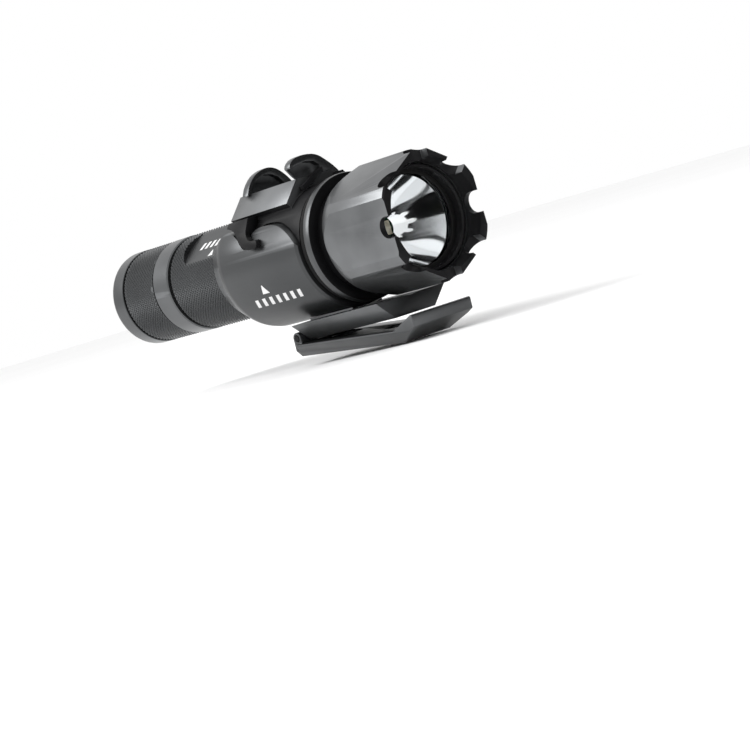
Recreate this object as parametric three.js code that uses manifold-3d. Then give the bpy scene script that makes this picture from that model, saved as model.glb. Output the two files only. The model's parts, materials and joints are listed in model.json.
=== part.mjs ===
// Firefighter flashlight: a one-inch tube light held in a helmet bracket that tilts.
// Millimetres, +Z up, light axis along +X. The origin is the middle of the base plate's
// lower face, where the bracket sits on a helmet.

import * as THREE from 'three';
import { mergeVertices } from 'three/addons/utils/BufferGeometryUtils.js';
import Module from 'manifold-3d';

const wasm = await Module();
wasm.setup();

// Driving dimensions. X positions are stations along the light, counted from its tail.
const GAP = 0.3;
// Sides of a round: fine on the outer pieces, plain elsewhere, coarse on small ones.
const FINE_ROUND = 36;
const ROUND = 28;
const SMALL_ROUND = 16;
const TUBE_R = 12.7;
const TUBE_BORE_R = 9.2;
const SPIGOT_R = 10.9;
const SOCKET_R = 11.2;
const CAP_END = 27.0;
const TUBE_SHOULDER = 28.4;
const TUBE_FRONT = 90.5;
const SPIGOT_FRONT = 95.0;
const FLAT_DEPTH = 1.5;
const FLAT_ANGLE = THREE.MathUtils.degToRad(52);
const FLAT_START = 33.0;

const HEAD_BACK = 96.0;
const HEAD_FRONT = 122.3;
const HEAD_R = 16.4;
const HEAD_APOTHEM = 14.8;
const HEAD_BORE_R = 13.3;
const CROWN_ROOT = 118.2;
const CROWN_SLOT_WIDTH = 5.3;
const CROWN_SLOTS = 8;

const CRADLE_BACK = 49.5;
const CRADLE_FRONT = 88.3;
const CRADLE_R = 16.8;
const CRADLE_BORE_R = TUBE_R + GAP;
const ARCH_R = 15.3;

const CLAMP_BACK = 59.5;
const CLAMP_BLOCK_FRONT = 83.0;
const CLAMP_TOP = 17.9;
const CLAMP_TOP_HALF = 6.3;
const CLAMP_EDGE = 12.7;
const CLAMP_EDGE_HALF = 11.4;
const CLAMP_SKIRT_HALF = 10.4;
const CLAMP_SKIRT_TOP = 11.6;
const CLAMP_SKIRT_FOOT = 10.4;

const LEVER_WIDTH = 2.3;
const LEVER_STATIONS = { rear: 61.9, front: 80.3 };
const PIVOT_Y = 6.9;
const PIVOT_Z = 15.5;
const EYE_R = 1.4;
const PIVOT_PIN_R = 0.7;

const RAIL_BACK = 71.0;
const RAIL_FRONT = 105.0;
const RAIL_TOP = -16.8;
const RAIL_BOTTOM = -21.45;
const CRADLE_SCREW_STATIONS = { rear: 76.0, front: 84.5 };

const TILT_X = 68.6;
const TILT_Z = -20.3;
const TILT_REST = THREE.MathUtils.degToRad(3.8);
const KNUCKLE_R = 1.5;
const KNUCKLE_SPLIT = 3.4;
const KNUCKLE_END = 9.0;
const TILT_PIN_R = 0.75;
const PLATE_TOP = -1.45;
const PLATE_BOTTOM = -4.85;
const PLATE_LENGTH = 38.6;
const PLATE_HALF = 10.0;
const PLATE_FOOT_HALF = 7.5;
const PLATE_CENTRE = 19.0;
const HELMET_HOLES = [9.0, 29.0];

// Finishes.
const FINISHES = {
  anodised: { color: 0x3b3d40, roughness: 0.42, metalness: 0.85 },
  black_part: { color: 0x141415, roughness: 0.5, metalness: 0.4 },
  rubber: { color: 0x0d0d0e, roughness: 0.85, metalness: 0 },
  steel: { color: 0xb4b6b9, roughness: 0.3, metalness: 1 },
  brass: { color: 0xb08d4a, roughness: 0.35, metalness: 1 },
  mirror: { color: 0xf2f3f5, roughness: 0.04, metalness: 1 },
  glass: { color: 0xeef6fa, roughness: 0.03, metalness: 0, transparent: true, opacity: 0.35 },
  led: { color: 0xe8d36a, roughness: 0.35, metalness: 0 },
  board: { color: 0x23553a, roughness: 0.55, metalness: 0 },
  cell: { color: 0x2d4f8f, roughness: 0.45, metalness: 0 },
  plastic: { color: 0x1d1e20, roughness: 0.5, metalness: 0 },
};

const light = new THREE.Group();
const bracket = new THREE.Group();
const materials = {};

function addNode(group, name, geometry, finish) {
  materials[finish] ??= new THREE.MeshStandardMaterial(FINISHES[finish]);
  const mesh = new THREE.Mesh(geometry, materials[finish]);
  mesh.name = name;
  group.add(mesh);
  return mesh;
}

// Closed geometry with merged vertices and its faces turned outward.
function closed(geometry) {
  geometry.deleteAttribute('normal');
  geometry.deleteAttribute('uv');
  const merged = mergeVertices(geometry, 1e-4);
  const p = merged.attributes.position;
  const index = merged.index.array;
  const kept = [];
  const a = new THREE.Vector3();
  const b = new THREE.Vector3();
  const c = new THREE.Vector3();
  let volume = 0;
  for (let i = 0; i < index.length; i += 3) {
    const [i0, i1, i2] = [index[i], index[i + 1], index[i + 2]];
    if (i0 === i1 || i1 === i2 || i0 === i2) continue;
    a.fromBufferAttribute(p, i0);
    b.fromBufferAttribute(p, i1);
    c.fromBufferAttribute(p, i2);
    volume += a.dot(b.cross(c));
    kept.push(i0, i1, i2);
  }
  if (volume < 0) kept.reverse();
  merged.setIndex(kept);
  return merged;
}

function solid(geometry) {
  const body = closed(geometry);
  return new wasm.Manifold(
    new wasm.Mesh({
      numProp: 3,
      vertProperties: new Float32Array(body.attributes.position.array),
      triVerts: new Uint32Array(body.index.array),
    }),
  );
}

function fromSolid(manifold) {
  const mesh = manifold.getMesh();
  const geometry = new THREE.BufferGeometry();
  geometry.setAttribute('position', new THREE.BufferAttribute(mesh.vertProperties, 3));
  geometry.setIndex(new THREE.BufferAttribute(mesh.triVerts, 1));
  geometry.computeVertexNormals();
  return geometry;
}

// Ring or disc turned round the light axis from [station, radius] points.
function turned(profile, segments = ROUND, loop = true) {
  const points = profile.map(([x, r]) => new THREE.Vector2(r, x));
  if (loop) points.push(points[0].clone());
  return new THREE.LatheGeometry(points, segments).rotateZ(-Math.PI / 2);
}

// Plain ring between two stations.
function ring(x0, x1, inner, outer, segments = ROUND) {
  return turned([[x0, inner], [x0, outer], [x1, outer], [x1, inner]], segments);
}

// Solid disc between two stations.
function disc(x0, x1, radius, segments = ROUND) {
  return turned([[x0, 0], [x0, radius], [x1, radius], [x1, 0]], segments, false);
}

function outline(points) {
  return new THREE.Shape(points.map(([u, v]) => new THREE.Vector2(u, v)));
}

function extruded(shape, depth, curveSegments = 12) {
  return new THREE.ExtrudeGeometry(shape, { depth, bevelEnabled: false, curveSegments });
}

// Prism of a (y, z) outline between two stations on X.
function prismX(shape, x0, x1, curveSegments) {
  const turn = new THREE.Matrix4().makeBasis(
    new THREE.Vector3(0, 1, 0),
    new THREE.Vector3(0, 0, 1),
    new THREE.Vector3(1, 0, 0),
  );
  return extruded(shape, x1 - x0, curveSegments).applyMatrix4(turn).translate(x0, 0, 0);
}

// Prism of an (x, z) outline between two places on Y.
function prismY(shape, y0, y1, curveSegments) {
  const turn = new THREE.Matrix4().makeBasis(
    new THREE.Vector3(1, 0, 0),
    new THREE.Vector3(0, 0, 1),
    new THREE.Vector3(0, -1, 0),
  );
  return extruded(shape, y1 - y0, curveSegments).applyMatrix4(turn).translate(0, y1, 0);
}

function box(x0, x1, y0, y1, z0, z1) {
  const size = new THREE.BoxGeometry(x1 - x0, y1 - y0, z1 - z0);
  return size.translate((x0 + x1) / 2, (y0 + y1) / 2, (z0 + z1) / 2);
}

function cylinderY(radius, y0, y1, x, z, segments = SMALL_ROUND) {
  const bar = new THREE.CylinderGeometry(radius, radius, y1 - y0, segments);
  return bar.translate(x, (y0 + y1) / 2, z);
}

function cylinderX(radius, x0, x1, y, z, segments = SMALL_ROUND) {
  const bar = new THREE.CylinderGeometry(radius, radius, x1 - x0, segments);
  return bar.rotateZ(-Math.PI / 2).translate((x0 + x1) / 2, y, z);
}

function cylinderZ(radius, z0, z1, x, y, segments = SMALL_ROUND) {
  const bar = new THREE.CylinderGeometry(radius, radius, z1 - z0, segments);
  return bar.rotateX(Math.PI / 2).translate(x, y, (z0 + z1) / 2);
}

// Coil spring along X whose radius grows evenly from r0 to r1.
class Coil extends THREE.Curve {
  constructor(x0, x1, r0, r1, turns) {
    super();
    Object.assign(this, { x0, x1, r0, r1, turns });
  }

  getPoint(t, target = new THREE.Vector3()) {
    const angle = 2 * Math.PI * this.turns * t;
    const radius = this.r0 + (this.r1 - this.r0) * t;
    const x = this.x0 + (this.x1 - this.x0) * t;
    return target.set(x, radius * Math.cos(angle), radius * Math.sin(angle));
  }
}

function coilSpring(x0, x1, r0, r1, turns, wire) {
  const section = new THREE.Shape().absarc(0, 0, wire, 0, 2 * Math.PI, false);
  const path = new Coil(x0 + wire, x1 - wire, r0, r1, turns);
  const steps = Math.round(turns * 10);
  return closed(new THREE.ExtrudeGeometry(section, { steps, extrudePath: path, curveSegments: 3 }));
}

// ---- Tail cap and its switch ----

function buildTail() {
  const BAND_GROOVE_R = 12.1;
  const BUTTON_HOLE_R = 6.6;
  const WALL = 3.0;
  const SWITCH_BORE_R = 9.6;
  const RING_SEAT = 12.6;
  addNode(light, 'tail_cap', closed(turned([
    [0, BUTTON_HOLE_R], [0, 11.4], [0.35, 12.3], [1.3, TUBE_R],
    [5.7, TUBE_R], [5.7, BAND_GROOVE_R], [6.5, BAND_GROOVE_R], [6.5, TUBE_R],
    [19.7, TUBE_R], [19.7, BAND_GROOVE_R], [20.4, BAND_GROOVE_R], [20.4, TUBE_R],
    [CAP_END, TUBE_R], [CAP_END, SOCKET_R], [RING_SEAT, SOCKET_R],
    [RING_SEAT, SWITCH_BORE_R], [WALL, SWITCH_BORE_R], [WALL, BUTTON_HOLE_R],
  ])), 'anodised');
  addNode(light, 'tail_button', closed(turned([
    [-1.5, 0], [-1.5, 4.6], [-1.1, 5.6], [-0.2, 6.2],
    [WALL + GAP, 6.2], [WALL + GAP, 8.2], [4.2, 8.2], [4.2, 0],
  ], ROUND, false)), 'rubber');
  addNode(light, 'switch_plunger', closed(disc(4.5, 8.0, 2.0, SMALL_ROUND)), 'plastic');
  addNode(light, 'tail_switch', closed(turned([
    [10.0, 0], [10.0, 2.4], [6.2, 2.4], [6.2, 6.4], [10.6, 6.4], [10.6, 0],
  ], SMALL_ROUND, false)), 'plastic');
  addNode(light, 'tail_switch_board', closed(disc(10.9, 12.3, 9.3, ROUND)), 'board');
  addNode(light, 'switch_retaining_ring', closed(ring(12.9, 14.6, 7.2, 10.9, ROUND)), 'brass');
  addNode(light, 'tail_spring', coilSpring(12.6, 23.5, 5.2, 3.0, 4, 0.45), 'steel');
  addNode(light, 'tail_oring', closed(turned([
    [27.3, 11.2], [27.3, 11.5], [27.5, 11.7], [27.9, 11.7], [28.1, 11.5], [28.1, 11.2],
  ])), 'rubber');
}

// ---- Body tube with two milled flats, and its cells ----

// Cutter for a milled flat whose rear end is the round of the milling tool.
function flatCutter(angle) {
  const HALF_WIDTH = 8.0;
  const ROUND_R = 8.0;
  const shape = new THREE.Shape();
  shape.moveTo(TUBE_FRONT - 2.0, -HALF_WIDTH);
  shape.lineTo(TUBE_FRONT - 2.0, HALF_WIDTH);
  shape.lineTo(FLAT_START + ROUND_R, HALF_WIDTH);
  shape.absarc(FLAT_START + ROUND_R, 0, ROUND_R, Math.PI / 2, 1.5 * Math.PI, false);
  const slab = extruded(shape, 4).translate(0, 0, TUBE_R - FLAT_DEPTH);
  return solid(slab.rotateX(angle));
}

function buildTube() {
  const tube = solid(turned([
    [14.9, TUBE_BORE_R], [14.9, 10.5], [15.4, SPIGOT_R],
    [TUBE_SHOULDER, SPIGOT_R], [TUBE_SHOULDER, TUBE_R - 0.2], [TUBE_SHOULDER + 0.2, TUBE_R],
    [TUBE_FRONT, TUBE_R], [TUBE_FRONT, SPIGOT_R],
    [SPIGOT_FRONT, SPIGOT_R], [SPIGOT_FRONT, TUBE_BORE_R],
  ], FINE_ROUND));
  const nearFlat = flatCutter(Math.PI / 2 - FLAT_ANGLE);
  const farFlat = flatCutter(1.5 * Math.PI - FLAT_ANGLE);
  addNode(light, 'body_tube', fromSolid(tube.subtract(nearFlat).subtract(farFlat)), 'anodised');

  const CELL_R = 8.5;
  const NUB_R = 3.2;
  const CELL_LENGTH = 34.2;
  const CELL_PITCH = CELL_LENGTH + GAP;
  ['rear', 'front'].forEach((place, i) => {
    const back = 23.8 + i * CELL_PITCH;
    const front = back + CELL_LENGTH;
    addNode(light, `battery_${place}`, closed(turned([
      [back, 0], [back, CELL_R], [front - 1.5, CELL_R], [front - 1.5, NUB_R],
      [front, NUB_R], [front, 0],
    ], SMALL_ROUND, false)), 'cell');
  });
  addNode(light, 'front_contact_spring', coilSpring(92.9, 95.3, 1.6, 3.0, 2, 0.35), 'steel');
}

// ---- Head: heat sink base, board, emitter, reflector, lens and crown ----

function buildHeadInside() {
  const FLANGE_BACK = 90.8;
  const FLANGE_FRONT = 93.3;
  const FLANGE_R = 16.2;
  const GROOVE_R = 13.4;
  const GROOVE_FRONT = 95.7;
  const POCKET_R = 9.6;
  const CORE_R = 12.6;
  addNode(light, 'neck_ring', closed(turned([
    [88.6, 13.0], [88.6, 15.2], [88.9, 15.6], [90.2, 15.6], [90.5, 15.2], [90.5, 13.0],
  ])), 'rubber');
  addNode(light, 'head_base', closed(turned([
    [97.4, 0], [97.4, POCKET_R], [95.3, POCKET_R], [95.3, SOCKET_R],
    [FLANGE_BACK, SOCKET_R], [FLANGE_BACK, FLANGE_R - 0.5], [FLANGE_BACK + 0.4, FLANGE_R],
    [FLANGE_FRONT - 0.4, FLANGE_R], [FLANGE_FRONT, FLANGE_R - 0.4], [FLANGE_FRONT, GROOVE_R],
    [GROOVE_FRONT, GROOVE_R], [GROOVE_FRONT, CORE_R], [99.5, CORE_R], [99.5, 0],
  ], FINE_ROUND, false)), 'anodised');

  const chip = solid(box(94.3, 95.8, 4.2, 8.0, -2.5, 2.5));
  addNode(light, 'driver_board', fromSolid(solid(disc(95.6, 97.1, 9.3, ROUND)).add(chip)), 'board');
  addNode(light, 'led_board', closed(disc(99.8, 101.0, 10.4, ROUND)), 'board');

  const EMITTER_HALF = 1.75;
  const dome = new THREE.SphereGeometry(1.45, 16, 10).translate(102.2, 0, 0);
  const base = box(101.3, 102.2, -EMITTER_HALF, EMITTER_HALF, -EMITTER_HALF, EMITTER_HALF);
  const front = solid(box(101.3, 105, -3, 3, -3, 3));
  addNode(light, 'led_emitter', fromSolid(solid(base).add(solid(dome).intersect(front))), 'led');

  // The dish is a parabola, r^2 = 4 f (x - apex).
  const DISH_BACK = 101.8;
  const DISH_FRONT = 111.8;
  const DISH_HOLE_R = 2.9;
  const DISH_MOUTH_R = 11.3;
  const DISH_STEPS = 7;
  const fourFocal = (DISH_MOUTH_R ** 2 - DISH_HOLE_R ** 2) / (DISH_FRONT - DISH_BACK);
  const apex = DISH_BACK - DISH_HOLE_R ** 2 / fourFocal;
  const dish = [];
  for (let i = 0; i <= DISH_STEPS; i += 1) {
    const r = DISH_MOUTH_R + (DISH_HOLE_R - DISH_MOUTH_R) * (i / DISH_STEPS);
    dish.push([apex + r ** 2 / fourFocal, r]);
  }
  addNode(light, 'reflector', closed(turned([
    [DISH_BACK, 4.2], [104.0, 8.2], [108.0, 11.6], [110.4, 12.2],
    [110.4, 12.9], [DISH_FRONT, 12.9], ...dish,
  ])), 'mirror');
  addNode(light, 'lens', closed(disc(112.2, 113.8, 12.9)), 'glass');
  addNode(light, 'lens_gasket', closed(ring(114.1, 114.8, 11.2, 12.9)), 'rubber');
  addNode(light, 'bezel_ring', closed(turned([
    [115.1, 12.2], [115.1, 13.0], [117.6, 13.0], [117.6, 12.6], [117.2, 12.2],
  ])), 'black_part');
}

// Six-sided head shell with a chamfered back and a scalloped crown.
function buildHeadShell() {
  const HEX_SIDES = 6;
  const PLAY = 5;
  const blank = solid(turned([
    [HEAD_BACK, 12.9], [HEAD_BACK, 13.6], [97.0, 14.8], [101.6, HEAD_R], [121.9, HEAD_R],
    [HEAD_FRONT, HEAD_R - 0.4], [HEAD_FRONT, 13.9], [117.9, HEAD_BORE_R],
    [101.2, HEAD_BORE_R], [101.2, 12.9],
  ], FINE_ROUND));
  const corners = [];
  for (let i = 0; i < HEX_SIDES; i += 1) {
    const angle = ((i + 0.5) / HEX_SIDES) * 2 * Math.PI;
    const reach = HEAD_APOTHEM / Math.cos(Math.PI / HEX_SIDES);
    corners.push([reach * Math.cos(angle), reach * Math.sin(angle)]);
  }
  const hexagon = solid(prismX(outline(corners), HEAD_BACK - PLAY, HEAD_FRONT + PLAY));
  let shell = blank.intersect(hexagon);

  const half = CROWN_SLOT_WIDTH / 2;
  const slot = new THREE.Shape();
  slot.moveTo(HEAD_FRONT + PLAY, half);
  slot.lineTo(CROWN_ROOT + half, half);
  slot.absarc(CROWN_ROOT + half, 0, half, Math.PI / 2, 1.5 * Math.PI, false);
  slot.lineTo(HEAD_FRONT + PLAY, -half);
  for (let i = 0; i < CROWN_SLOTS; i += 1) {
    const cutter = extruded(slot, 10, 5).translate(0, 0, HEAD_R - PLAY);
    shell = shell.subtract(solid(cutter.rotateX((i / CROWN_SLOTS) * 2 * Math.PI)));
  }
  addNode(light, 'head_shell', fromSolid(shell), 'anodised');
}

// ---- Cradle shell and top clamp ----

// Everything above the cradle's scalloped rim, raised by lift.
function aboveRim(lift) {
  const FAR_UP = 24;
  const shape = new THREE.Shape();
  shape.moveTo(CRADLE_BACK - 3, 3.4 + lift);
  shape.splineThru([
    [CRADLE_BACK, 5.5], [54.7, 8.3], [59.4, 10.0], [64.0, 7.9], [66.6, 5.2], [68.4, 4.6],
  ].map(([x, z]) => new THREE.Vector2(x, z + lift)));
  shape.lineTo(69.2, 7.4 + lift);
  shape.splineThru([
    [72.6, 8.9], [77.0, 8.9], [81.5, 7.9], [85.9, 5.0], [89.3, 0.6],
  ].map(([x, z]) => new THREE.Vector2(x, z + lift)));
  shape.lineTo(CRADLE_FRONT + 3, -4 + lift);
  shape.lineTo(CRADLE_FRONT + 3, FAR_UP);
  shape.lineTo(CRADLE_BACK - 3, FAR_UP);
  return solid(prismY(shape, -22, 22, 3));
}

function cradleBlank(inner, outer) {
  const TAPER_END = 56.0;
  const EDGE = 0.6;
  return solid(turned([
    [CRADLE_BACK, inner], [CRADLE_BACK, 13.6 + outer - CRADLE_R], [TAPER_END, outer],
    [CRADLE_FRONT - EDGE, outer], [CRADLE_FRONT, outer - EDGE], [CRADLE_FRONT, inner],
  ], FINE_ROUND));
}

function buildCradle() {
  const SCREW_HOLE_R = 1.7;
  let shell = cradleBlank(CRADLE_BORE_R, CRADLE_R).subtract(aboveRim(0));
  for (const x of Object.values(CRADLE_SCREW_STATIONS)) {
    shell = shell.subtract(solid(cylinderZ(SCREW_HOLE_R, -20, -11, x, 0)));
  }
  addNode(bracket, 'cradle', fromSolid(shell), 'anodised');
}

// Arm on the far side that carries the front end of the front lever's pin.
function pinArm() {
  const section = outline([[4.4, 13.0], [9.8, 11.2], [9.2, 14.8], [7.4, 17.1], [5.6, 17.1]]);
  return solid(prismX(section, CLAMP_BLOCK_FRONT - 0.1, CLAMP_BLOCK_FRONT + 2.0));
}

// Tongue that slants across the front end of the block.
function slantedTongue() {
  const section = outline([[-6.3, 15.8], [-5.8, 14.7], [1.6, 18.1], [1.4, 19.3]]);
  return solid(prismX(section, CLAMP_BLOCK_FRONT - 0.1, CLAMP_BLOCK_FRONT + 1.6));
}

function leverSpans() {
  return Object.entries(LEVER_STATIONS).map(([place, x]) => [place, x, x + LEVER_WIDTH]);
}

// Block of the clamp, grown all round by grow to make room for it in a neighbour.
function clampBlock(grow) {
  const half = [
    [CLAMP_TOP_HALF + grow, CLAMP_TOP + grow], [CLAMP_EDGE_HALF + grow, CLAMP_EDGE - grow],
    [CLAMP_SKIRT_HALF + grow, CLAMP_SKIRT_TOP - grow], [CLAMP_SKIRT_HALF + grow, CLAMP_SKIRT_FOOT - grow],
  ];
  const mirrored = half.map(([y, z]) => [-y, z]).reverse();
  const section = outline([...half, ...mirrored]);
  return solid(prismX(section, CLAMP_BACK - grow, CLAMP_BLOCK_FRONT + grow));
}

function buildTopClamp() {
  const SLOT_DEPTH = EYE_R + 0.35;
  const block = clampBlock(0);
  const rim = aboveRim(GAP + 0.05);
  const band = solid(ring(CLAMP_BACK + 0.6, CRADLE_FRONT, TUBE_R + 0.35, ARCH_R, FINE_ROUND));
  const arch = band.intersect(rim);
  let clamp = block.add(arch).add(pinArm()).add(slantedTongue());
  for (const [, x0, x1] of leverSpans()) {
    const slot = box(x0 - GAP, x1 + GAP, PIVOT_Y - SLOT_DEPTH, 14, PIVOT_Z - SLOT_DEPTH, 20);
    clamp = clamp.subtract(solid(slot));
  }
  const tubeRoom = solid(disc(CRADLE_BACK, CRADLE_FRONT + 2, TUBE_R + 0.35, FINE_ROUND));
  const pinHoles = solid(cylinderX(PIVOT_PIN_R + 0.15, 50, 95, PIVOT_Y, PIVOT_Z));
  clamp = clamp.subtract(tubeRoom).subtract(pinHoles);
  addNode(bracket, 'top_clamp', fromSolid(clamp), 'black_part');
}

// Hooks of the clamp, which reach down into the notch of the cradle's rim on each side.
function buildHooks() {
  const LEG_TOP = 12.2;
  const HOOK_R = 18.4;
  const shape = new THREE.Shape();
  shape.moveTo(61.2, LEG_TOP);
  shape.lineTo(61.2, 11.0);
  shape.quadraticCurveTo(64.9, 10.4, 66.4, 8.0);
  shape.quadraticCurveTo(68.2, 4.9, 71.4, 4.4);
  shape.lineTo(74.0, 4.3);
  shape.quadraticCurveTo(75.3, 5.2, 74.3, 6.3);
  shape.lineTo(72.4, 6.4);
  shape.quadraticCurveTo(70.2, 6.8, 69.9, 9.2);
  shape.lineTo(69.6, LEG_TOP);
  const shell = solid(ring(58, 77, ARCH_R + GAP, HOOK_R, FINE_ROUND));
  const cradleRoom = cradleBlank(11, CRADLE_R + GAP).subtract(aboveRim(GAP + 0.05));
  const sides = [['near', -20, -2], ['far', 2, 20]];
  for (const [place, y0, y1] of sides) {
    const hook = solid(prismY(shape, y0, y1, 6)).intersect(shell);
    const fitted = hook.subtract(cradleRoom).subtract(clampBlock(GAP));
    addNode(bracket, `clamp_hook_${place}`, fromSolid(fitted), 'black_part');
  }
}

// ---- Quick-release levers ----

// Arched lever in the Y-Z plane: a rim from the near side over to the pivot eye on the
// far side, closed at the back by a thin web inside the rim.
function leverBody(arch, foot, recess, x0) {
  const WEB = 0.8;
  const shape = new THREE.Shape();
  shape.moveTo(...arch[0]);
  shape.splineThru(arch.slice(1).map(([y, z]) => new THREE.Vector2(y, z)));
  shape.lineTo(PIVOT_Y + EYE_R, PIVOT_Z);
  shape.lineTo(PIVOT_Y - EYE_R, PIVOT_Z);
  foot.forEach(([y, z]) => shape.lineTo(y, z));
  const body = solid(prismX(shape, x0, x0 + LEVER_WIDTH, 2));
  const eye = solid(cylinderX(EYE_R, x0, x0 + LEVER_WIDTH, PIVOT_Y, PIVOT_Z));
  const pocket = solid(prismX(outline(recess), x0 + WEB, x0 + LEVER_WIDTH + 1));
  return body.subtract(pocket).add(eye);
}

function buildLevers() {
  const FOOT = 18.25;
  const SHAPES = {
    rear: {
      arch: [[-7.6, 17.6], [-6.3, 19.8], [-4.1, 21.8], [-2.0, 22.8], [0.3, 23.3], [2.3, 23.1],
        [4.1, 22.3], [5.8, 20.8], [7.2, 19.1], [8.1, 17.4]],
      foot: [[PIVOT_Y - EYE_R, FOOT], [-6.4, FOOT], [-7.2, 17.6]],
      recess: [[-6.5, 17], [-6.5, 18.3], [-5.2, 19.7], [-3.2, 21.2], [-0.6, 21.8], [1.8, 21.4],
        [3.6, 20.4], [5.0, 18.6], [5.0, 17]],
    },
    front: {
      arch: [[-6.9, 20.9], [-6.4, 21.9], [-4.6, 23.0], [-1.8, 23.3], [1.2, 23.0], [3.2, 22.2],
        [4.8, 20.9], [6.6, 19.2], [8.1, 17.4]],
      foot: [[PIVOT_Y - EYE_R, FOOT], [-4.6, FOOT], [-5.3, 18.7]],
      recess: [[-8, 17], [-8, 20.3], [-5.5, 21.1], [-1.7, 21.6], [1.0, 21.1], [2.6, 19.9], [2.6, 17]],
    },
  };
  const hole = solid(cylinderX(PIVOT_PIN_R + 0.15, 50, 95, PIVOT_Y, PIVOT_Z));
  for (const [place, x0, x1] of leverSpans()) {
    const { arch, foot, recess } = SHAPES[place];
    const lever = leverBody(arch, foot, recess, x0).subtract(hole);
    addNode(bracket, `lever_${place}`, fromSolid(lever), 'anodised');
    const pin = closed(cylinderX(PIVOT_PIN_R, x0 - 1.8, x1 + 1.8, PIVOT_Y, PIVOT_Z));
    addNode(bracket, `lever_pin_${place}`, pin, 'black_part');
  }
}

// ---- Rail block and its screws ----

function buildRail() {
  const FLANK_TOP = -16.9;
  const FLANK_HALF = 11.4;
  const FOOT_HALF = 6.6;
  const SADDLE_HALF = 5.0;
  const SADDLE_TOP = -13.5;
  const HEAD_BORE = 3.2;
  const HEAD_SEAT = -19.3;
  const body = solid(prismX(outline([
    [-FLANK_HALF, RAIL_TOP], [-FLANK_HALF, FLANK_TOP], [-FOOT_HALF, RAIL_BOTTOM],
    [FOOT_HALF, RAIL_BOTTOM], [FLANK_HALF, FLANK_TOP], [FLANK_HALF, RAIL_TOP],
  ]), RAIL_BACK, RAIL_FRONT));
  const saddle = solid(box(RAIL_BACK, CRADLE_FRONT, -SADDLE_HALF, SADDLE_HALF, RAIL_TOP - 1, SADDLE_TOP));
  const shellRoom = solid(disc(RAIL_BACK - 2, RAIL_FRONT + 2, CRADLE_R + GAP, FINE_ROUND));
  const lug = solid(cylinderY(KNUCKLE_R, -KNUCKLE_SPLIT, KNUCKLE_SPLIT, TILT_X, TILT_Z));
  const lugBase = solid(box(
    TILT_X, RAIL_BACK + 1, -KNUCKLE_SPLIT, KNUCKLE_SPLIT, RAIL_BOTTOM, TILT_Z + KNUCKLE_R,
  ));
  let rail = body.add(saddle).subtract(shellRoom);
  rail = rail.add(lug).add(lugBase);
  rail = rail.subtract(solid(cylinderY(TILT_PIN_R + 0.15, -12, 12, TILT_X, TILT_Z)));
  for (const [place, x] of Object.entries(CRADLE_SCREW_STATIONS)) {
    rail = rail.subtract(solid(cylinderZ(1.7, -24, -10, x, 0)));
    rail = rail.subtract(solid(cylinderZ(HEAD_BORE, -24, HEAD_SEAT, x, 0)));
    const shank = solid(cylinderZ(1.4, -20.5, -13.7, x, 0));
    const head = solid(cylinderZ(2.8, -21.2, HEAD_SEAT - GAP, x, 0));
    const socket = solid(cylinderZ(1.35, -22, -20.3, x, 0, 6));
    addNode(bracket, `cradle_screw_${place}`, fromSolid(shank.add(head).subtract(socket)), 'steel');
  }
  addNode(bracket, 'rail_block', fromSolid(rail), 'anodised');
}

// ---- Tilting base plate, in its own frame with the hinge pin as its origin ----

const base = new THREE.Group();
base.position.set(TILT_X, 0, TILT_Z);
base.rotation.y = TILT_REST;

function buildBase() {
  const LIP_LENGTH = 7.2;
  const LIP_RISE = 3.4;
  const profile = outline([
    [0, PLATE_BOTTOM], [PLATE_LENGTH, PLATE_BOTTOM],
    [PLATE_LENGTH + LIP_LENGTH, PLATE_BOTTOM + LIP_RISE + 0.4],
    [PLATE_LENGTH + LIP_LENGTH, PLATE_TOP + LIP_RISE - 0.3],
    [PLATE_LENGTH + LIP_LENGTH - 0.5, PLATE_TOP + LIP_RISE],
    [PLATE_LENGTH - 0.6, PLATE_TOP], [0, PLATE_TOP],
  ]);
  const section = outline([
    [-PLATE_FOOT_HALF, PLATE_BOTTOM], [PLATE_FOOT_HALF, PLATE_BOTTOM],
    [PLATE_HALF, PLATE_TOP - 0.5], [PLATE_HALF, PLATE_TOP + 4],
    [-PLATE_HALF, PLATE_TOP + 4], [-PLATE_HALF, PLATE_TOP - 0.5],
  ]);
  const long = solid(prismY(profile, -PLATE_HALF - 1, PLATE_HALF + 1));
  const ears = solid(cylinderY(KNUCKLE_R, -KNUCKLE_END, KNUCKLE_END, 0, 0))
    .add(solid(box(-KNUCKLE_R, KNUCKLE_R, -KNUCKLE_END, KNUCKLE_END, PLATE_BOTTOM, 0)));
  const lugRoom = solid(cylinderY(KNUCKLE_R + GAP, -KNUCKLE_SPLIT - GAP, KNUCKLE_SPLIT + GAP, 0, 0));
  const lugGap = solid(box(
    -KNUCKLE_R - 1, KNUCKLE_R + 1, -KNUCKLE_SPLIT - GAP, KNUCKLE_SPLIT + GAP, PLATE_TOP, KNUCKLE_R + 1,
  ));
  const limits = solid(prismX(section, -2, PLATE_LENGTH + 12));
  let plate = long.add(ears).intersect(limits).subtract(lugRoom).subtract(lugGap);
  plate = plate.subtract(solid(cylinderY(TILT_PIN_R + 0.15, -12, 12, 0, 0)));
  for (const x of HELMET_HOLES) {
    plate = plate.subtract(solid(cylinderZ(2.2, -6, 3, x, 0)));
    plate = plate.subtract(solid(cylinderZ(4.0, PLATE_TOP - 1.5, 3, x, 0)));
  }
  addNode(base, 'base_plate', fromSolid(plate), 'anodised');
  addNode(base, 'tilt_pin', closed(cylinderY(TILT_PIN_R, -KNUCKLE_END, KNUCKLE_END, 0, 0)), 'black_part');
}

buildTail();
buildTube();
buildHeadInside();
buildHeadShell();
buildCradle();
buildTopClamp();
buildHooks();
buildLevers();
buildRail();
buildBase();

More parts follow.
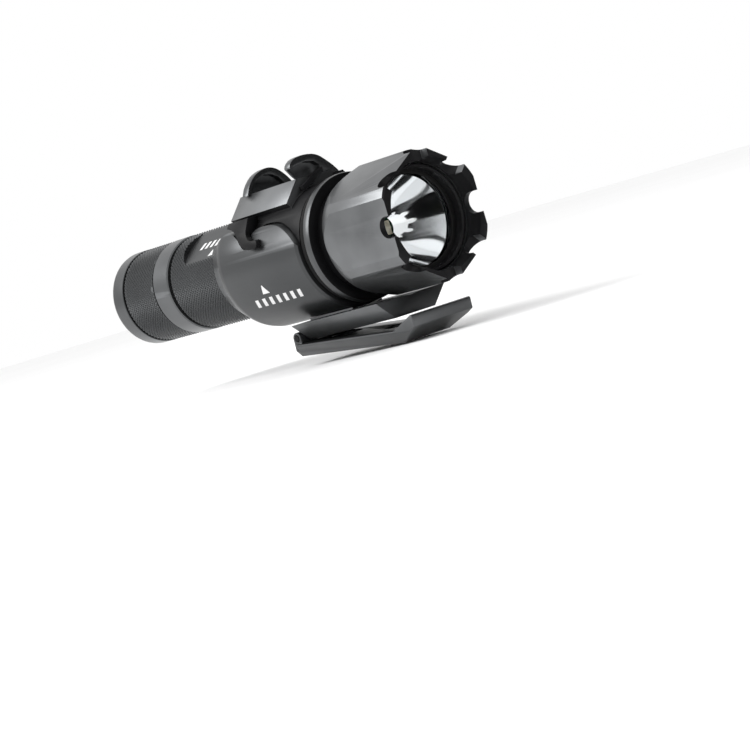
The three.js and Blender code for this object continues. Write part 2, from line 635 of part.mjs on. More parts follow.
// The assembly is moved so that the middle of the plate's lower face is the origin.
const assembly = new THREE.Group();
assembly.add(light, bracket, base);
base.updateMatrix();
const faceMiddle = new THREE.Vector3(PLATE_CENTRE, 0, PLATE_BOTTOM).applyMatrix4(base.matrix);
assembly.position.copy(faceMiddle).negate();

const flashlight = new THREE.Group();
flashlight.add(assembly);

export default flashlight;
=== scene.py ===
import json
import math

import bmesh
import bpy
from mathutils import Matrix, Vector


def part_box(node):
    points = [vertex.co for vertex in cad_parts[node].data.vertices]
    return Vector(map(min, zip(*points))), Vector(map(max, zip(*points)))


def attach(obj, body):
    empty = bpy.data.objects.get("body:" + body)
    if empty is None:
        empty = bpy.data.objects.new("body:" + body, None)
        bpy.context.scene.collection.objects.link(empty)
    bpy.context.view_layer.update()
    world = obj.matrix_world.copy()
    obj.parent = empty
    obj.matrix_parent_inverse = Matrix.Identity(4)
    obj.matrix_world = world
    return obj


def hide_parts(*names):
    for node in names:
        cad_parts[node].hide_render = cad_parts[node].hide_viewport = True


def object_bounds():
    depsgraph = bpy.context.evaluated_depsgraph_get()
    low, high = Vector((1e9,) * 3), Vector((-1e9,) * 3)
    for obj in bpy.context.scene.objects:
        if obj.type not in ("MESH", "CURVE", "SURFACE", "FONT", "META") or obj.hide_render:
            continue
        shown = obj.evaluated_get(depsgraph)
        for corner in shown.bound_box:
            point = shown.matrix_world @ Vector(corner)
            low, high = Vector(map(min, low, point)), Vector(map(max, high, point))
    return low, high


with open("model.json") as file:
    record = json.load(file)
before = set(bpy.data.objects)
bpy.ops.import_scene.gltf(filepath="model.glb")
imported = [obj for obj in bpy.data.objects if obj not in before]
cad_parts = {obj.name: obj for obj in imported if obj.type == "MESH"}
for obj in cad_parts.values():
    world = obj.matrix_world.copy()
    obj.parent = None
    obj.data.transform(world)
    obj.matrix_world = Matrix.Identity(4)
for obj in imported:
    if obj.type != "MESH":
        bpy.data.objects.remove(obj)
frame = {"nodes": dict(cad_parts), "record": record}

cad_low, cad_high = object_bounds()

# Stations along the light and distances from its axis are in millimetres, counted from
# the tail cap's end. LIGHT carries them into the row frame, in metres.
MM = 0.001
TAIL_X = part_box("tail_cap")[0].x
TUBE_LOW, TUBE_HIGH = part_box("body_tube")
AXIS_Z = (TUBE_LOW.z + TUBE_HIGH.z) / 2
LIGHT = Matrix.Translation((TAIL_X, 0, AXIS_Z)) @ Matrix.Scale(MM, 4)

TUBE_R = (TUBE_HIGH.z - TUBE_LOW.z) / 2 / MM


def station(node, end):
    """Station of a node's low (0) or high (1) end along the light."""
    return (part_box(node)[end].x - TAIL_X) / MM


def ends(node):
    """Stations of a node's two ends."""
    return station(node, 0), station(node, 1)


def half_size(node, axis):
    """Half of a node's size along the y or z axis."""
    low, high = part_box(node)
    return (getattr(high, axis) - getattr(low, axis)) / 2 / MM


CAP_END = station("tail_cap", 1)
TUBE_BACK, TUBE_FRONT = ends("body_tube")
CRADLE_BACK, CRADLE_FRONT = ends("cradle")
HEAD_BACK, HEAD_FRONT = ends("head_shell")
FLANGE_BACK = station("head_base", 0)
CRADLE_R = half_size("cradle", "y")
HEAD_R = half_size("head_shell", "z")
HEAD_APOTHEM = half_size("head_shell", "y")
FLANGE_R = half_size("head_base", "z")

# Radius of the reflector, the lens and its gasket.
OPTICS_R = 12.9

BODY_OF = {n: b for b, ns in frame["record"]["behaviour"]["bodies"].items() for n in ns}
SLOT_OF = {s["node"]: s["material_slot"] for s in frame["record"]["subparts"]}


# ---- Materials ----

# Sockets of the Mix node when it mixes colours.
MIX_FACTOR, MIX_A, MIX_B, MIX_RESULT = 0, 6, 7, 2

# Pointiness where an edge starts to show wear, and where its wear is full.
WEAR_START, WEAR_FULL = 0.515, 0.62

def link(tree, source, output, target, socket):
    tree.links.new(source.outputs[output], target.inputs[socket])


def add_node(tree, kind, **values):
    node = tree.nodes.new(kind)
    for key, value in values.items():
        if key in node.inputs:
            node.inputs[key].default_value = value
        else:
            setattr(node, key, value)
    return node


def noise(tree, coords, scale, detail=3.0, stretch=(1, 1, 1)):
    mapping = add_node(tree, "ShaderNodeMapping")
    mapping.inputs["Scale"].default_value = stretch
    texture = add_node(tree, "ShaderNodeTexNoise", Scale=scale, Detail=detail)
    link(tree, coords, "Object", mapping, "Vector")
    link(tree, mapping, "Vector", texture, "Vector")
    return texture


def spread(tree, source, output, low, high, start=0.3, stop=0.7):
    """A 0 to 1 signal moved into the range low to high."""
    node = add_node(tree, "ShaderNodeMapRange")
    node.inputs["From Min"].default_value = start
    node.inputs["From Max"].default_value = stop
    node.inputs["To Min"].default_value = low
    node.inputs["To Max"].default_value = high
    link(tree, source, output, node, "Value")
    return node


def blend_colour(tree, low, high):
    node = add_node(tree, "ShaderNodeMix", data_type="RGBA")
    node.inputs[MIX_A].default_value = (*low, 1)
    node.inputs[MIX_B].default_value = (*high, 1)
    return node


def surface(name, dark, pale, metallic, rough, grain, bump, cloud=120, wear=None,
            stretch=(1, 1, 1), inputs=None):
    """A finish with clouded colour, grain in its gloss and its relief, and worn edges.

    rough is the range of the roughness, bump the strength and depth (in metres) of the
    relief, and wear the colour and share of worn edges. grain and cloud are noise scales."""
    material = bpy.data.materials.new(name)
    material.use_nodes = True
    tree = material.node_tree
    shader = tree.nodes["Principled BSDF"]
    coords = add_node(tree, "ShaderNodeTexCoord")
    clouds = noise(tree, coords, cloud, 4.0, stretch)
    grains = noise(tree, coords, grain, 2.0, stretch)

    colour = blend_colour(tree, dark, pale)
    link(tree, spread(tree, clouds, "Fac", 0, 1), "Result", colour, MIX_FACTOR)
    last = colour
    if wear:
        worn_colour, share = wear
        edges = add_node(tree, "ShaderNodeNewGeometry")
        worn = spread(tree, edges, "Pointiness", 0, share, WEAR_START, WEAR_FULL)
        patchy = add_node(tree, "ShaderNodeMath", operation="MULTIPLY")
        link(tree, worn, "Result", patchy, 0)
        link(tree, spread(tree, clouds, "Fac", 0.35, 1.0), "Result", patchy, 1)
        last = blend_colour(tree, dark, worn_colour)
        link(tree, colour, MIX_RESULT, last, MIX_A)
        link(tree, patchy, "Value", last, MIX_FACTOR)
    link(tree, last, MIX_RESULT, shader, "Base Color")

    strength, depth = bump
    link(tree, spread(tree, grains, "Fac", *rough), "Result", shader, "Roughness")
    relief = add_node(tree, "ShaderNodeBump", Strength=strength, Distance=depth)
    link(tree, grains, "Fac", relief, "Height")
    link(tree, relief, "Normal", shader, "Normal")
    shader.inputs["Metallic"].default_value = metallic
    for socket, value in (inputs or {}).items():
        shader.inputs[socket].default_value = value
    return material


# Depths of relief, in metres.
HAIR, GRIT, SKIN = 0.00001, 0.00002, 0.00003

FINISHES = {
    "anodised": dict(
        dark=(0.058, 0.060, 0.062), pale=(0.066, 0.068, 0.070), metallic=0.85,
        rough=(0.32, 0.36), grain=9000, bump=(0.12, HAIR), cloud=45,
        wear=((0.34, 0.35, 0.36), 0.5)),
    "black_part": dict(
        dark=(0.004, 0.004, 0.0045), pale=(0.007, 0.007, 0.0075), metallic=0.0,
        rough=(0.34, 0.42), grain=7000, bump=(0.15, HAIR),
        wear=((0.03, 0.03, 0.032), 0.3), inputs={"Specular IOR Level": 0.1}),
    "rubber": dict(
        dark=(0.005, 0.005, 0.005), pale=(0.009, 0.009, 0.009), metallic=0.0,
        rough=(0.62, 0.78), grain=5000, bump=(0.3, SKIN),
        inputs={"Specular IOR Level": 0.15}),
    "steel": dict(
        dark=(0.42, 0.42, 0.43), pale=(0.58, 0.58, 0.59), metallic=1.0,
        rough=(0.22, 0.36), grain=3000, bump=(0.12, HAIR), stretch=(1, 6, 6)),
    "brass": dict(
        dark=(0.46, 0.34, 0.15), pale=(0.62, 0.47, 0.24), metallic=1.0,
        rough=(0.24, 0.38), grain=3000, bump=(0.12, HAIR), stretch=(6, 1, 1)),
    "mirror": dict(
        dark=(0.92, 0.93, 0.94), pale=(0.97, 0.97, 0.98), metallic=1.0,
        rough=(0.05, 0.09), grain=400, bump=(0.02, HAIR), cloud=60),
    "led": dict(
        dark=(0.80, 0.74, 0.56), pale=(0.90, 0.85, 0.68), metallic=0.0,
        rough=(0.20, 0.32), grain=4000, bump=(0.1, HAIR), cloud=900,
        inputs={"Coat Weight": 0.8}),
    "board": dict(
        dark=(0.008, 0.060, 0.024), pale=(0.014, 0.095, 0.040), metallic=0.0,
        rough=(0.34, 0.5), grain=2500, bump=(0.15, GRIT), cloud=600),
    "cell": dict(
        dark=(0.020, 0.070, 0.230), pale=(0.030, 0.095, 0.300), metallic=0.0,
        rough=(0.24, 0.34), grain=1800, bump=(0.08, HAIR)),
    "plastic": dict(
        dark=(0.014, 0.014, 0.015), pale=(0.024, 0.024, 0.026), metallic=0.0,
        rough=(0.4, 0.52), grain=4500, bump=(0.25, GRIT)),
    "glass": dict(
        dark=(0.97, 0.985, 0.99), pale=(0.99, 1.0, 1.0), metallic=0.0,
        rough=(0.0, 0.015), grain=300, bump=(0.01, HAIR), cloud=40,
        inputs={"Transmission Weight": 1.0, "IOR": 1.45}),
    "print_ink": dict(
        dark=(0.66, 0.66, 0.66), pale=(0.80, 0.80, 0.80), metallic=0.0,
        rough=(0.42, 0.55), grain=6000, bump=(0.3, HAIR), cloud=1500),
}
MATERIALS = {name: surface(name, **finish) for name, finish in FINISHES.items()}

FLOOR_PAPER = dict(
    dark=(0.92, 0.92, 0.92), pale=(0.94, 0.94, 0.94), metallic=0.0,
    rough=(0.8, 0.9), grain=600, bump=(0.05, 0.0001), cloud=6)
FLAG_CLOTH = dict(
    dark=(0.001, 0.001, 0.001), pale=(0.002, 0.002, 0.002), metallic=0.0,
    rough=(0.9, 1.0), grain=600, bump=(0.05, 0.0001), cloud=6,
    inputs={"Specular IOR Level": 0.0})


# ---- Mesh helpers, all in the light's millimetres ----

# Sides of small, middling and large round pieces.
SMALL_SIDES, SIDES, LARGE_SIDES = 128, 160, 180

# Segments across a rounded edge.
EDGE_SEGMENTS = 2

def mesh_object(name, bm):
    bmesh.ops.recalc_face_normals(bm, faces=bm.faces)
    mesh = bpy.data.meshes.new(name)
    bm.to_mesh(mesh)
    bm.free()
    piece = bpy.data.objects.new(name, mesh)
    bpy.context.scene.collection.objects.link(piece)
    return piece


def bake_modifiers(piece):
    depsgraph = bpy.context.evaluated_depsgraph_get()
    baked = bpy.data.meshes.new_from_object(piece.evaluated_get(depsgraph))
    piece.modifiers.clear()
    piece.data = baked


def cut(piece, tool, operation="DIFFERENCE"):
    """Boolean of a piece with a tool, which is then thrown away."""
    change = piece.modifiers.new("cut", "BOOLEAN")
    change.operation = operation
    change.solver = "EXACT"
    change.object = tool
    bake_modifiers(piece)
    bpy.data.objects.remove(tool)


def round_edges(piece, width, angle):
    """Rounds the edges that turn by more than the angle, in degrees."""
    change = piece.modifiers.new("edges", "BEVEL")
    change.width = width
    change.segments = EDGE_SEGMENTS
    change.limit_method = "ANGLE"
    change.angle_limit = math.radians(angle)
    bake_modifiers(piece)


def shade(piece, angle=30.0):
    for face in piece.data.polygons:
        face.use_smooth = True
    piece.data.set_sharp_from_angle(angle=math.radians(angle))


def place(piece, node, slot=None, replaced=True, angle=30.0):
    """Puts a piece made in the light's millimetres into the row frame and on its body."""
    piece.data.transform(LIGHT)
    settle(piece, node, slot, replaced, angle)


def settle(piece, node, slot=None, replaced=True, angle=30.0):
    """Gives a piece in the row frame its finish, its body and the node that it stands for."""
    slot = slot or SLOT_OF[node]
    shade(piece, angle)
    piece.data.materials.clear()
    piece.data.materials.append(MATERIALS[slot])
    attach(piece, BODY_OF[node])
    if replaced:
        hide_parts(node)


def paint_light_and_shade(piece, slot, chosen):
    """Paints light and shade on a placed piece: its faces where chosen(middle, normal) is true
    get another finish, darker or lighter, which stands for the light and shade that fall on
    them.

    The middle is in the light's millimetres."""
    piece.data.materials.append(MATERIALS[slot])
    to_light = LIGHT.inverted()
    for face in piece.data.polygons:
        if chosen(to_light @ face.center, face.normal):
            face.material_index = 1


def ring_loop(bm, x, radii, count):
    """Ring of points around the axis, at the two radii by turns."""
    loop = []
    for i in range(count):
        angle = 2 * math.pi * i / count
        r = radii[i % 2]
        loop.append(bm.verts.new((x, r * math.cos(angle), r * math.sin(angle))))
    return loop


def turned(name, profile, count=SIDES, closed=True):
    """Round piece from (station, radius) points. A radius pair is a knurled ring."""
    bm = bmesh.new()
    loops = []
    for x, r in profile:
        radii = r if isinstance(r, tuple) else (r, r)
        if radii[0] == 0:
            loops.append([bm.verts.new((x, 0, 0))])
        else:
            loops.append(ring_loop(bm, x, radii, count))
    pairs = list(zip(loops, loops[1:]))
    if closed:
        pairs.append((loops[-1], loops[0]))
    for a, b in pairs:
        for i in range(count):
            j = (i + 1) % count
            if len(a) == 1:
                bm.faces.new((a[0], b[i], b[j]))
            elif len(b) == 1:
                bm.faces.new((a[i], b[0], a[j]))
            else:
                bm.faces.new((a[i], b[i], b[j], a[j]))
    return mesh_object(name, bm)


# Points of the knurl around the light, its step along the light and its depth.
KNURL_COUNT = 160
KNURL_STEP = 0.55
KNURL_DEPTH = 0.42


def knurl_rings(x0, x1, radius):
    """Rings whose points are by turns high and low, so that pyramids stand between them."""
    rings = round((x1 - x0) / KNURL_STEP)
    low = radius - KNURL_DEPTH
    made = []
    for k in range(rings + 1):
        x = x0 + (x1 - x0) * k / rings
        made.append((x, (radius, low) if k % 2 else (low, radius)))
    return made


def split_knurls(piece, x0, x1):
    """Splits each square of the knurl along its valley, which makes every pyramid true."""
    inner = TUBE_R - 1
    bm = bmesh.new()
    bm.from_mesh(piece.data)
    for face in list(bm.faces):
        corners = list(face.verts)
        middle = face.calc_center_median().x
        if len(corners) == 4 and x0 < middle < x1:
            heights = [math.hypot(v.co.y, v.co.z) for v in corners]
            if max(heights) - min(heights) > KNURL_DEPTH / 2 and min(heights) > inner:
                lows = sorted(range(4), key=lambda i: heights[i])[:2]
                bmesh.utils.face_split(face, corners[lows[0]], corners[lows[1]])
    bm.to_mesh(piece.data)
    bm.free()


def prism(name, outline, depth, matrix):
    """Straight prism of an outline, given as (u, v) points, from w = 0 to w = depth."""
    bm = bmesh.new()
    foot = [bm.verts.new((u, v, 0)) for u, v in outline]
    head = [bm.verts.new((u, v, depth)) for u, v in outline]
    count = len(outline)
    bm.faces.new(foot[::-1])
    bm.faces.new(head)
    for i in range(count):
        j = (i + 1) % count
        bm.faces.new((foot[i], foot[j], head[j], head[i]))
    bmesh.ops.transform(bm, matrix=matrix, verts=bm.verts)
    return mesh_object(name, bm)


def arc(cx, cy, radius, start, stop, steps):
    """Points on an arc from one angle to another, in degrees."""
    points = []
    for i in range(steps + 1):
        angle = math.radians(start + (stop - start) * i / steps)
        points.append((cx + radius * math.cos(angle), cy + radius * math.sin(angle)))
    return points


def catmull_rom(a, b, c, d, t):
    return 0.5 * (2 * b + (c - a) * t + (2 * a - 5 * b + 4 * c - d) * t * t
                  + (3 * b - a - 3 * c + d) * t ** 3)


def spline(points, steps):
    """Catmull-Rom curve through the points, with the same steps between each two."""
    guides = [points[0], *points, points[-1]]
    made = []
    for a, b, c, d in zip(guides, guides[1:], guides[2:], guides[3:]):
        for i in range(steps):
            t = i / steps
            made.append(tuple(catmull_rom(a[k], b[k], c[k], d[k], t) for k in (0, 1)))
    return [*made, points[-1]]


# ---- The light ----

def make_tail():
    knurl_back, knurl_front = 6.6, 19.6
    groove, edge, corner = TUBE_R - 0.6, TUBE_R - 0.15, TUBE_R - 0.3
    button_hole, face_edge, thread_bore, switch_bore = 6.6, 11.2, 11.2, 9.6
    thread_floor, hole_floor = 12.6, 3.0
    round_back = [(0, face_edge), (0.12, 11.7), (0.45, 12.25), (0.95, 12.58), (1.5, TUBE_R)]
    rear_groove = [(5.55, TUBE_R), (5.7, edge), (5.7, groove), (6.5, groove), (6.5, corner)]
    front_groove = [(19.7, corner), (19.7, groove), (20.4, groove), (20.4, edge),
                    (20.55, TUBE_R)]
    mouth = [(CAP_END - 0.3, TUBE_R), (CAP_END, corner), (CAP_END, thread_bore)]
    inside = [(thread_floor, thread_bore), (thread_floor, switch_bore),
              (hole_floor, switch_bore), (hole_floor, button_hole)]
    profile = [(0, button_hole), *round_back, *rear_groove,
               *knurl_rings(knurl_back, knurl_front, TUBE_R), *front_groove, *mouth, *inside]
    cap = turned("tail_cap_knurled", profile, KNURL_COUNT)
    split_knurls(cap, knurl_back, knurl_front)
    place(cap, "tail_cap")

    crest = station("tail_button", 0)
    dome = [(0.25, 0), (0.2, 1.6), (0, 1.9), (0, 4.2), (0.12, 4.9), (0.5, 5.6), (1.2, 6.1)]
    stem, rim, rim_back, rim_front = 6.2, 8.2, 3.3, 4.2
    profile = [(crest + depth, r) for depth, r in dome]
    profile += [(rim_back, stem), (rim_back, rim), (rim_front, rim), (rim_front, 0)]
    place(turned("tail_button_boot", profile, SMALL_SIDES, closed=False), "tail_button")

    back, width, middle, bulge, steps = 27.25, 0.95, 11.42, 0.38, 20
    ring = [(back + width * (1 - math.cos(a)) / 2, middle + bulge * math.sin(a))
            for a in [2 * math.pi * i / steps for i in range(steps)]]
    place(turned("tail_oring_round", ring, SMALL_SIDES), "tail_oring")


# Milled flats of the tube: the elevation that the near one faces, in degrees, and sizes.
FLAT_ELEVATION = 52
FLAT_DEPTH = 1.5
FLAT_HALF = 8.0
FLAT_BACK, FLAT_FRONT = 33.0, TUBE_FRONT - 5.7


def flat_tool(angle):
    """Milling path of one flat on the tube: a slab with a round end."""
    outline = [(FLAT_FRONT, -FLAT_HALF), (FLAT_FRONT, FLAT_HALF)]
    outline += arc(FLAT_BACK + FLAT_HALF, 0, FLAT_HALF, 90, 270, 32)
    turn = Matrix.Rotation(angle, 4, "X") @ Matrix.Translation((0, 0, TUBE_R - FLAT_DEPTH))
    height = 4.0
    return prism("flat_tool", outline, height, turn)


def make_tube():
    bore, spigot, plain = 9.2, 10.9, TUBE_R - 0.1
    shoulder, chamfer = 28.4, 28.55
    knurl_back, knurl_front = 28.7, 60.3
    plain_back, plain_front = 60.4, 90.5
    profile = [
        (TUBE_BACK, bore), (TUBE_BACK, spigot - 0.4), (TUBE_BACK + 0.5, spigot),
        (shoulder, spigot), (shoulder, TUBE_R - 0.35), (chamfer, TUBE_R - 0.3),
        *knurl_rings(knurl_back, knurl_front, TUBE_R),
        (plain_back, plain), (plain_front, plain), (plain_front, spigot),
        (TUBE_FRONT, spigot), (TUBE_FRONT, bore),
    ]
    tube = turned("body_tube_knurled", profile, KNURL_COUNT)
    split_knurls(tube, knurl_back, knurl_front)
    for elevation in (FLAT_ELEVATION, FLAT_ELEVATION + 180):
        cut(tube, flat_tool(math.radians(90 - elevation)))
    place(tube, "body_tube")


def make_neck():
    back, front = ends("neck_ring")
    middle, half = (back + front) / 2, (front - back) / 2
    inner, side, bulge, steps = 13.0, 15.05, 0.55, 12
    ring = [(middle - half * math.cos(a), side + bulge * math.sin(a))
            for a in [math.pi * i / steps for i in range(steps + 1)]]
    profile = [(back, inner), *ring, (front, inner)]
    place(turned("neck_ring_round", profile, SMALL_SIDES), "neck_ring")

    back, front, groove_front = FLANGE_BACK, FLANGE_BACK + 2.5, HEAD_BACK - 0.3
    well, well_floor = 9.6, 97.4
    socket, socket_floor = 11.2, 95.3
    core, core_front = 12.6, 99.5
    groove, corner, nick = 13.4, 0.5, 0.15
    profile = [
        (well_floor, 0), (well_floor, well), (socket_floor, well), (socket_floor, socket),
        (back, socket), (back, FLANGE_R - corner), (back + nick, FLANGE_R - nick),
        (back + corner, FLANGE_R), (front - corner, FLANGE_R), (front - nick, FLANGE_R - nick),
        (front, FLANGE_R - corner), (front, groove), (groove_front, groove),
        (groove_front, core), (core_front, core), (core_front, 0),
    ]
    flange = turned("head_base_flange", profile, closed=False)
    place(flange, "head_base")
    # Painted shade: the flange's front face and the groove ahead of it get the black finish,
    # which stands for the shade that falls in the groove.
    paint_light_and_shade(flange, "black_part", lambda at, out: at.x > front - 0.1)


def make_head_shell():
    thread, back_edge, bore, mouth, chamfer = 12.9, 13.6, 13.3, 13.9, 0.4
    waist, waist_r, full = 97.0, 14.8, 101.6
    bore_back, bore_front = 101.2, 117.9
    profile = [
        (HEAD_BACK, thread), (HEAD_BACK, back_edge), (waist, waist_r), (full, HEAD_R),
        (HEAD_FRONT - chamfer, HEAD_R), (HEAD_FRONT, HEAD_R - chamfer), (HEAD_FRONT, mouth),
        (bore_front, bore), (bore_back, bore), (bore_back, thread),
    ]
    shell = turned("head_shell_faceted", profile, LARGE_SIDES)

    reach, margin = HEAD_APOTHEM / math.cos(math.pi / 6), 3
    corners = [(reach * math.sin(math.pi / 3 * i), reach * math.cos(math.pi / 3 * i))
               for i in range(6)]
    along = Matrix(((0, 0, 1, HEAD_BACK - margin), (1, 0, 0, 0), (0, 1, 0, 0), (0, 0, 0, 1)))
    length = HEAD_FRONT - HEAD_BACK + 2 * margin
    cut(shell, prism("hexagon", corners, length, along), "INTERSECT")

    slots, slot_root, half, slot_floor, slot_height = 8, 118.2, 5.3 / 2, 11.4, 8.0
    outline = [(HEAD_FRONT + margin, -half), (HEAD_FRONT + margin, half)]
    outline += arc(slot_root + half, 0, half, 90, 270, 20)
    for i in range(slots):
        turn = Matrix.Rotation(math.pi / 4 * i, 4, "X") @ Matrix.Translation((0, 0, slot_floor))
        cut(shell, prism("crown_slot", outline, slot_height, turn))
    round_edges(shell, 0.22, 20.0)
    place(shell, "head_shell", angle=24.0)

    crown_back, inner_edge = slot_root - 0.6, 14.4

    def crown_painted_shade(at, out):
        """Painted shade: crown faces that point ahead, and those of its inner edge, which take
        the black finish for the shade that falls on them.
        """
        ahead, inside = out.x > 0.3, math.hypot(at.y, at.z) < inner_edge
        return at.x > crown_back and out.x > -0.1 and (ahead or inside)

    # Painted shade: the crown's forward faces and inner edge are black only for the shade that
    # falls on them.
    paint_light_and_shade(shell, "black_part", crown_painted_shade)


def make_optics():
    back, front = ends("reflector")
    hole, mouth, steps = 2.9, 11.3, 40
    four_focal = (mouth ** 2 - hole ** 2) / (front - back)
    dish = []
    for i in range(steps + 1):
        r = mouth + (hole - mouth) * i / steps
        dish.append((back + (r ** 2 - hole ** 2) / four_focal, r))
    shoulder = 110.4
    outside = [(back, 4.2), (104.0, 8.2), (108.0, 11.6), (shoulder, 12.2),
               (shoulder, OPTICS_R), (front, OPTICS_R)]
    place(turned("reflector_dish", [*outside, *dish]), "reflector", angle=40.0)

    back, front = ends("lens")
    face, chamfer = 12.6, 0.25
    profile = [(back, 0), (back, face), (back + chamfer, OPTICS_R), (front - chamfer, OPTICS_R),
               (front, face), (front, 0)]
    place(turned("lens_window", profile, SMALL_SIDES, closed=False), "lens")

    back, front = ends("lens_gasket")
    inner, lip = 11.2, 0.2
    profile = [(back, 11.3), (back, OPTICS_R), (front, OPTICS_R), (front, 11.5),
               (front - lip, inner), (back + lip, inner)]
    place(turned("lens_gasket_ring", profile, SMALL_SIDES), "lens_gasket")

    back, front = ends("bezel_ring")
    inner, outer = 12.2, 13.0
    profile = [(back, inner), (back, outer), (front - 0.15, outer), (front, 12.85),
               (front, 12.6), (front - 0.4, inner)]
    place(turned("bezel_ring_threaded", profile, SMALL_SIDES), "bezel_ring")


# ---- The bracket ----

# Rim of the cradle seen from the side, as (station, height above the axis), behind the
# hook's notch and ahead of it.
RIM_BACK = [(CRADLE_BACK, 5.5), (54.7, 8.3), (59.4, 10.0), (64.0, 7.9), (66.6, 5.2),
            (68.4, 4.6)]
RIM_FRONT = [(69.2, 7.4), (72.6, 8.9), (77.0, 8.9), (81.5, 7.9), (85.9, 5.0), (89.3, 0.6)]


def make_cradle():
    bore, back_edge, corner = TUBE_R + 0.3, 13.6, 0.6
    profile = [
        (CRADLE_BACK, bore), (CRADLE_BACK, back_edge), (54.6, CRADLE_R - 0.7),
        (55.6, CRADLE_R - 0.27), (57.0, CRADLE_R), (CRADLE_FRONT - corner, CRADLE_R),
        (CRADLE_FRONT, CRADLE_R - corner), (CRADLE_FRONT, bore),
    ]
    shell = turned("cradle_shell", profile, LARGE_SIDES)

    margin, rim_start, rim_end, top, reach, steps = 3, 3.4, -4, 24, 22, 6
    lead = [(CRADLE_BACK - margin, rim_start)]
    tail = [(CRADLE_FRONT + margin, rim_end), (CRADLE_FRONT + margin, top),
            (CRADLE_BACK - margin, top)]
    outline = lead + spline(RIM_BACK, steps) + spline(RIM_FRONT, steps) + tail
    across = Matrix(((1, 0, 0, 0), (0, 0, -1, reach), (0, 1, 0, 0), (0, 0, 0, 1)))
    cut(shell, prism("rim_tool", outline, 2 * reach, across))
    round_edges(shell, 0.3, 32.0)
    place(shell, "cradle", angle=26.0)


# The levers' webs end at this height above the axis in the CAD model. Here they come down
# by the drop, which hides the slit that lets the levers move.
WEB_EDGE, WEB_DROP = 18.25, 0.3

# Edges of a copied piece are rounded where they turn by more than this, in degrees.
COPY_ANGLE = 24.0


def copy_with_edges(node, name, width, lower_web=False):
    """A piece with a CAD node's shape and rounded edges, standing for that node."""
    piece = bpy.data.objects.new(name, frame["nodes"][node].data.copy())
    bpy.context.scene.collection.objects.link(piece)
    bm = bmesh.new()
    bm.from_mesh(piece.data)
    bmesh.ops.remove_doubles(bm, verts=bm.verts, dist=0.001 * MM)
    if lower_web:
        for corner in bm.verts:
            if abs((corner.co.z - AXIS_Z) / MM - WEB_EDGE) < 0.01:
                corner.co.z -= WEB_DROP * MM
    bmesh.ops.dissolve_limit(bm, angle_limit=math.radians(0.5), verts=bm.verts, edges=bm.edges)
    bm.to_mesh(piece.data)
    bm.free()
    round_edges(piece, width * MM, COPY_ANGLE)
    settle(piece, node)
    return piece


def make_bracket():
    clamp = copy_with_edges("top_clamp", "top_clamp_block", 0.25)
    block_front, block_foot = station("top_clamp", 1) - 5.3, 12.9
    # Painted light: the clamp block's upper faces behind its front get the paler anodised
    # finish, which stands for the light that falls on them.
    paint_light_and_shade(clamp, "anodised",
                  lambda at, out: at.x < block_front + 0.1 and at.z > block_foot)
    copy_with_edges("rail_block", "rail_block_body", 0.3)
    copy_with_edges("base_plate", "base_plate_body", 0.35)
    for side in ("near", "far"):
        copy_with_edges(f"clamp_hook_{side}", f"clamp_hook_{side}_cast", 0.3)
    for end in ("rear", "front"):
        copy_with_edges(f"lever_{end}", f"lever_{end}_arch", 0.25, lower_web=True)


# ---- Printed marks: plain slanted bars and a triangle ----

# The ink stands this far above the surface, and reaches as far below it.
INK_LIFT = 0.03

# The cradle's marks stand at this angle below the axis, in degrees.
CRADLE_MARKS = -33

# A triangle's top is narrower than its foot by this share.
POINTED = 0.92

def printed(name, tiles, to_point, node):
    """Thin ink tiles, which to_point(u, v, height) lays on a surface.

    A tile goes from u0 to u1 and from v0 to v1. Its top moves by lean and narrows by the
    share pinch."""
    bm = bmesh.new()
    rows = 4
    for u0, u1, v0, v1, lean, pinch in tiles:
        layers = []
        for height in (-INK_LIFT, INK_LIFT):
            grid = []
            for i in range(rows + 1):
                t = i / rows
                middle = (u0 + u1) / 2 + lean * t
                half = (u1 - u0) / 2 * (1 - pinch * t)
                v = v0 + (v1 - v0) * t
                pair = (to_point(middle - half, v, height), to_point(middle + half, v, height))
                grid.append([bm.verts.new(p) for p in pair])
            layers.append(grid)
        low, high = layers
        for i in range(rows):
            bm.faces.new((low[i][0], low[i][1], low[i + 1][1], low[i + 1][0]))
            bm.faces.new((high[i][0], high[i + 1][0], high[i + 1][1], high[i][1]))
            for k in (0, 1):
                bm.faces.new((low[i][k], low[i + 1][k], high[i + 1][k], high[i][k]))
        for i in (0, rows):
            bm.faces.new((low[i][0], low[i][1], high[i][1], high[i][0]))
    place(mesh_object(name, bm), node, "print_ink", replaced=False)


def slanted_bars(count, back, front, pitch, low, high, lean):
    """Tiles of equal bars. The first goes from back to front, and the rest follow it."""
    return [(back + pitch * i, front + pitch * i, low, high, lean, 0.0) for i in range(count)]


def triangle(back, front, low, high):
    return (back, front, low, high, 0.0, POINTED)


def on_cradle(u, v, height):
    angle = math.radians(CRADLE_MARKS) + v / CRADLE_R
    radius = CRADLE_R + height
    return (u, -radius * math.cos(angle), radius * math.sin(angle))


def on_flat(u, v, height):
    elevation = math.radians(FLAT_ELEVATION)
    normal = Vector((0, -math.cos(elevation), math.sin(elevation)))
    up = Vector((0, math.sin(elevation), math.cos(elevation)))
    return Vector((u, 0, 0)) + normal * (TUBE_R - FLAT_DEPTH + height) + up * v


def make_marks():
    bars = slanted_bars(7, 63.0, 64.3, 2.9, -1.3, 1.1, lean=0.9)
    printed("cradle_print", [*bars, triangle(68.6, 71.4, 2.3, 4.7)], on_cradle, "cradle")
    bars = slanted_bars(5, 38.4, 39.5, 2.2, -1.1, 1.1, lean=0.8)
    printed("tube_print", [*bars, triangle(44.5, 46.5, -4.4, -2.4)], on_flat, "body_tube")


def finish_cad_nodes():
    """Gives the CAD nodes that stay visible their procedural finishes."""
    for name, node in frame["nodes"].items():
        node.data.materials.clear()
        node.data.materials.append(MATERIALS[SLOT_OF[name]])


# ---- Studio ----

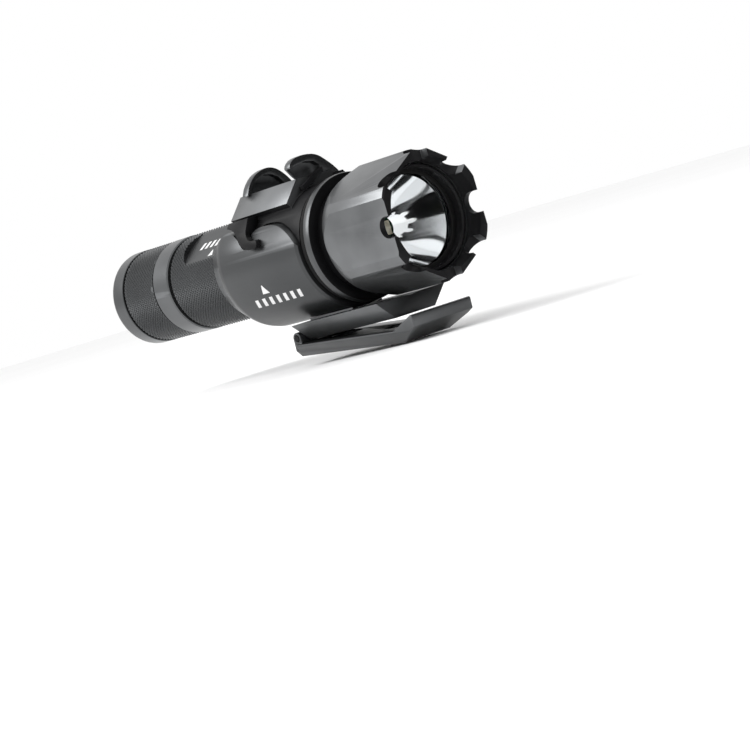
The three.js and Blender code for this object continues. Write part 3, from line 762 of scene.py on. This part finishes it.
def make_studio():
    floor_size, floor_drop = 4.0, 0.0004
    bpy.ops.mesh.primitive_plane_add(size=floor_size, location=(0, 0, cad_low.z - floor_drop))
    floor = bpy.context.object
    floor.name = "floor"
    floor.data.materials.append(surface("floor_paper", **FLOOR_PAPER))

    world = bpy.data.worlds.new("studio")
    bpy.context.scene.world = world
    world.use_nodes = True
    plain = world.node_tree.nodes["Background"]
    plain.inputs["Color"].default_value = (1, 1, 1, 1)
    plain.inputs["Strength"].default_value = 1.0

    # A black card ahead of the light, on its far side, keeps the faces that point forwards
    # dark. It shows in reflections only.
    azimuth = math.radians(40)
    card_size, card_distance, card_height = 0.5, 0.27, 0.15
    facing = Vector((math.cos(azimuth), math.sin(azimuth), 0))
    spot = facing * card_distance + Vector((0, 0, card_height))
    bpy.ops.mesh.primitive_plane_add(size=card_size, location=spot)
    flag = bpy.context.object
    flag.name = "flag"
    flag.rotation_euler = facing.to_track_quat("Z", "Y").to_euler()
    flag.visible_camera = False
    flag.visible_shadow = False
    flag.visible_diffuse = False
    flag.data.materials.append(surface("flag_cloth", **FLAG_CLOTH))

    lamp = bpy.data.lights.new("key", "AREA")
    lamp.size = 0.5
    lamp.energy = 5.5
    key = bpy.data.objects.new("key", lamp)
    bpy.context.scene.collection.objects.link(key)
    key.location = (-0.40, -0.55, 0.60)
    aim = Vector((0, 0, AXIS_Z)) - Vector(key.location)
    key.rotation_euler = aim.to_track_quat("-Z", "Y").to_euler()
    bpy.context.scene.view_settings.view_transform = "Standard"


def make_camera():
    """Long lens, low and ahead of the light on its near side, rolled a little."""
    azimuth, elevation, roll = map(math.radians, (-39.56, 3.03, -16.5))
    distance = 0.6485
    target = LIGHT @ Vector((83.2, 0, -34.3))
    away = Vector((math.cos(elevation) * math.cos(azimuth),
                   math.cos(elevation) * math.sin(azimuth), math.sin(elevation)))
    data = bpy.data.cameras.new("camera")
    data.sensor_width = 36.0
    data.lens = 124.8
    data.clip_start = 0.01
    camera = bpy.data.objects.new("camera", data)
    bpy.context.scene.collection.objects.link(camera)
    turn = away.to_track_quat("Z", "Y").to_matrix().to_4x4() @ Matrix.Rotation(roll, 4, "Z")
    camera.matrix_world = Matrix.Translation(target + away * distance) @ turn
    bpy.context.scene.camera = camera


make_camera()
finish_cad_nodes()
make_tail()
make_tube()
make_neck()
make_head_shell()
make_optics()
make_cradle()
make_bracket()
make_marks()
make_studio()
